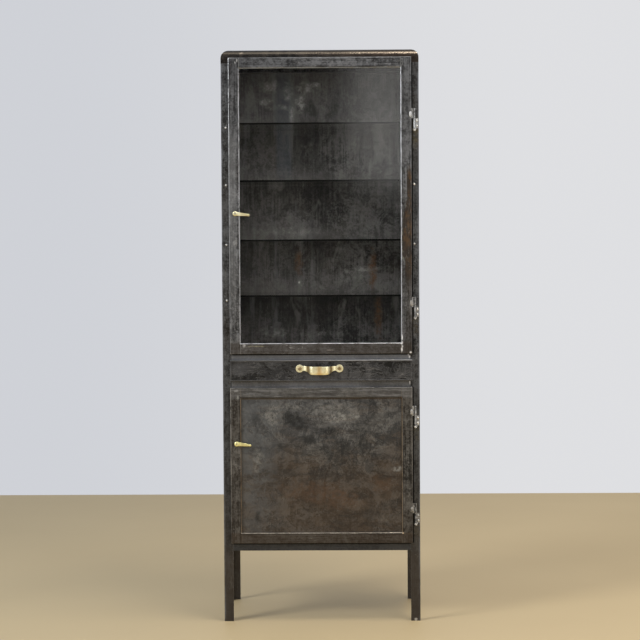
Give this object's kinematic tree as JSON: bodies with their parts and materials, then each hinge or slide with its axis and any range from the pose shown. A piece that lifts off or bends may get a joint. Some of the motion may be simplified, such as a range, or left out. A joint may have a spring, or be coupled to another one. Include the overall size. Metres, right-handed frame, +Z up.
{
  "type": "medical cabinet",
  "caption": "Tall steel medical cabinet on angle iron legs, with a glazed upper door over glass shelves, a shallow drawer and a closed lower cupboard.",
  "frame": {"origin": "on the floor, under the middle of the whole outline at rest, drawer pull included", "axes": "+X to the right seen from the front, +Y to the back, +Z up"},
  "size_m": [0.63, 0.4408, 1.83],
  "materials": {
    "frame_steel": "stripped mild steel, dark patina, waxed",
    "cap_steel": "stripped mild steel, dark patina, waxed, brown tone",
    "sheet_steel": "stripped mild steel, dark patina, waxed, mottled",
    "door_steel": "stripped mild steel, dark patina, waxed, brushed greyer",
    "hinge_steel": "worn bright steel",
    "rivet_steel": "worn steel heads",
    "clear_glass": "clear float glass",
    "brass": "polished cast brass"
  },
  "bodies": {
    "cabinet": {"front_left_post": "frame_steel", "front_right_post": "frame_steel", "rear_left_post": "frame_steel", "rear_right_post": "frame_steel", "bottom_rail_front": "frame_steel", "bottom_rail_rear": "frame_steel", "bottom_rail_left": "frame_steel", "bottom_rail_right": "frame_steel", "divider_rail_front": "frame_steel", "divider_rail_rear": "frame_steel", "deck_rail_front": "frame_steel", "deck_rail_rear": "frame_steel", "deck_rail_left": "frame_steel", "deck_rail_right": "frame_steel", "head_rail_front": "frame_steel", "head_rail_rear": "frame_steel", "head_rail_left": "frame_steel", "head_rail_right": "frame_steel", "top_cap": "cap_steel", "left_side_panel": "sheet_steel", "right_side_panel": "sheet_steel", "back_panel": "sheet_steel", "bottom_panel": "sheet_steel", "deck_panel": "sheet_steel", "glass_shelf_1": "clear_glass", "glass_shelf_2": "clear_glass", "glass_shelf_3": "clear_glass", "glass_shelf_4": "clear_glass", "left_shelf_bars": "frame_steel", "right_shelf_bars": "frame_steel", "drawer_runner_left": "frame_steel", "drawer_runner_right": "frame_steel", "shelf_rivets": "rivet_steel", "post_leaf_rivets": "rivet_steel", "hinge_post_leaves": "hinge_steel", "hinge_pins": "hinge_steel"},
    "upper_door": {"upper_door_frame": "door_steel", "upper_door_glass": "clear_glass", "upper_door_side_strips": "door_steel", "upper_door_cross_strips": "door_steel", "upper_door_hinge_leaves": "hinge_steel", "upper_door_leaf_rivets": "rivet_steel"},
    "upper_lever": {"upper_lever": "brass", "upper_lever_spindle": "hinge_steel", "upper_lever_tongue": "hinge_steel"},
    "lower_door": {"lower_door_frame": "door_steel", "lower_door_panel": "sheet_steel", "lower_door_hinge_leaves": "hinge_steel", "lower_door_leaf_rivets": "rivet_steel"},
    "lower_lever": {"lower_lever": "brass", "lower_lever_spindle": "hinge_steel", "lower_lever_tongue": "hinge_steel"},
    "drawer": {"drawer_front": "door_steel", "drawer_tray_floor": "sheet_steel", "drawer_tray_sides": "sheet_steel", "drawer_tray_ends": "sheet_steel", "drawer_pull": "brass", "pull_screws": "brass", "pull_nuts": "hinge_steel"}
  },
  "joints": [
    {"name": "upper_door_swing", "type": "hinge", "parent": "cabinet", "child": "upper_door", "pos_m": [0.3007, -0.18615, 1.309], "axis": [0, 0, 1], "range_deg": [0, 135]},
    {"name": "lower_door_swing", "type": "hinge", "parent": "cabinet", "child": "lower_door", "pos_m": [0.3007, -0.18615, 0.5045], "axis": [0, 0, 1], "range_deg": [0, 135]},
    {"name": "upper_lever_turn", "type": "hinge", "parent": "upper_door", "child": "upper_lever", "pos_m": [-0.27075, -0.19645, 1.309], "axis": [0, 1, 0], "range_deg": [0, 83]},
    {"name": "lower_lever_turn", "type": "hinge", "parent": "lower_door", "child": "lower_lever", "pos_m": [-0.27075, -0.19645, 0.574], "axis": [0, 1, 0], "range_deg": [0, 83]},
    {"name": "drawer_slide", "type": "slide", "parent": "cabinet", "child": "drawer", "axis": [0, -1, 0], "range_m": [0, 0.28]}
  ]
}
